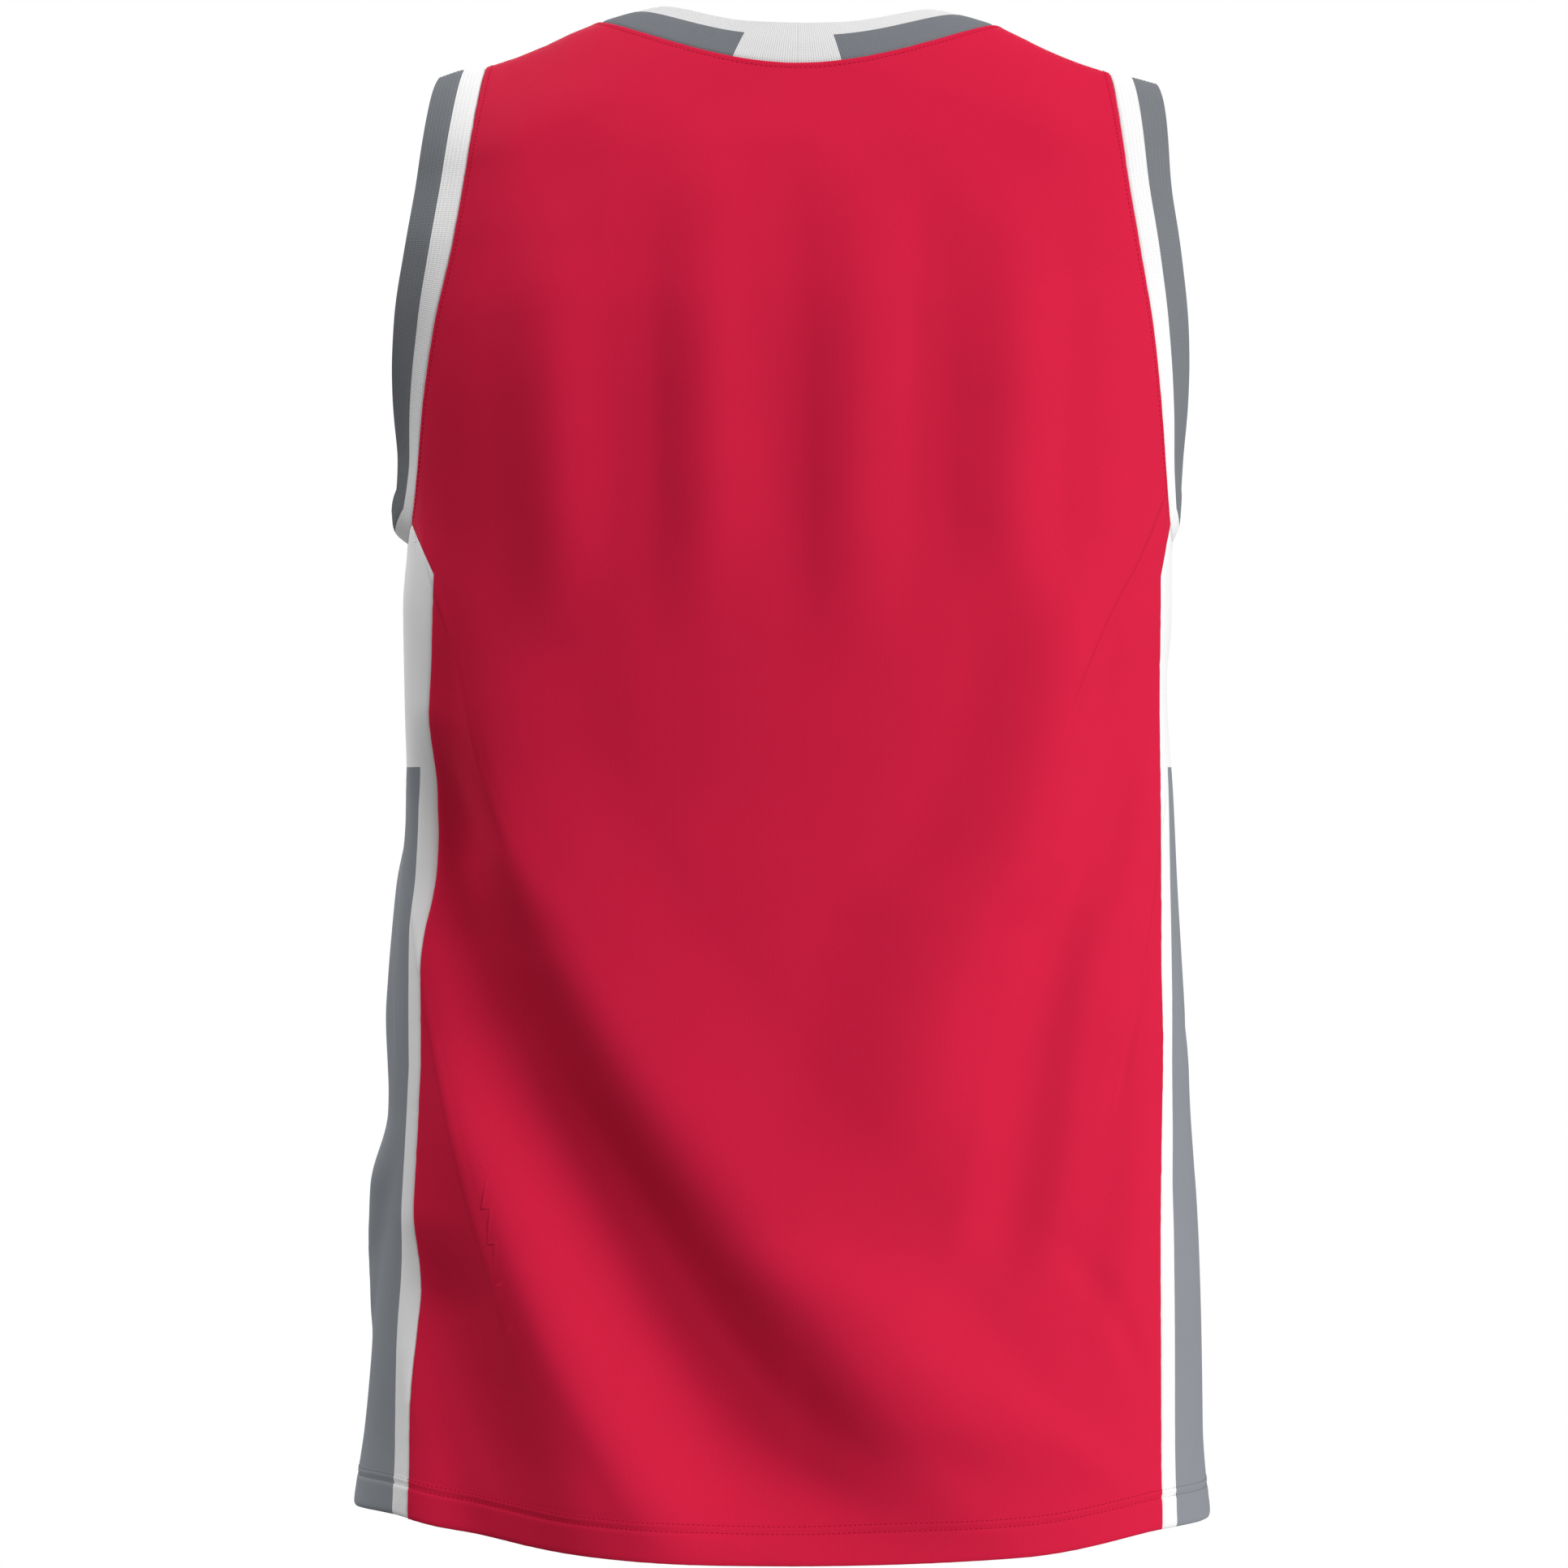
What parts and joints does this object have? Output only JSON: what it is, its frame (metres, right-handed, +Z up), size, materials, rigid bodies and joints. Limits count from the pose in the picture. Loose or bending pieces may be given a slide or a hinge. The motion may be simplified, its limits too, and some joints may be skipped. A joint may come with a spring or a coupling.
{
  "type": "basketball jersey",
  "caption": "Sleeveless basketball jersey, filled out as if worn, open at the neck, armholes and hem, with two-tone rib bands and striped side panels.",
  "frame": {"origin": "midway between the two high shoulder points, where the shoulder seams meet the neck", "axes": "+Z up; the back of the jersey faces +Y and its front faces -Y; the wearer's left is +X"},
  "size_m": [0.4359, 0.2856, 0.7765],
  "materials": {
    "body_cloth": "smooth red polyester knit with a soft broad sheen",
    "side_cloth": "smooth white polyester knit with a wide grey centre stripe",
    "neck_rib": "fine rib knit, grey beside the seam and white at the edge and across the centre back",
    "arm_rib": "rib knit, white beside the seam and grey at the edge"
  },
  "bodies": {
    "root": {"back_panel": "body_cloth", "front_panel": "body_cloth", "side_panel_left": "side_cloth", "side_panel_right": "side_cloth", "neckband": "neck_rib", "armband_left": "arm_rib", "armband_right": "arm_rib"}
  },
  "joints": []
}
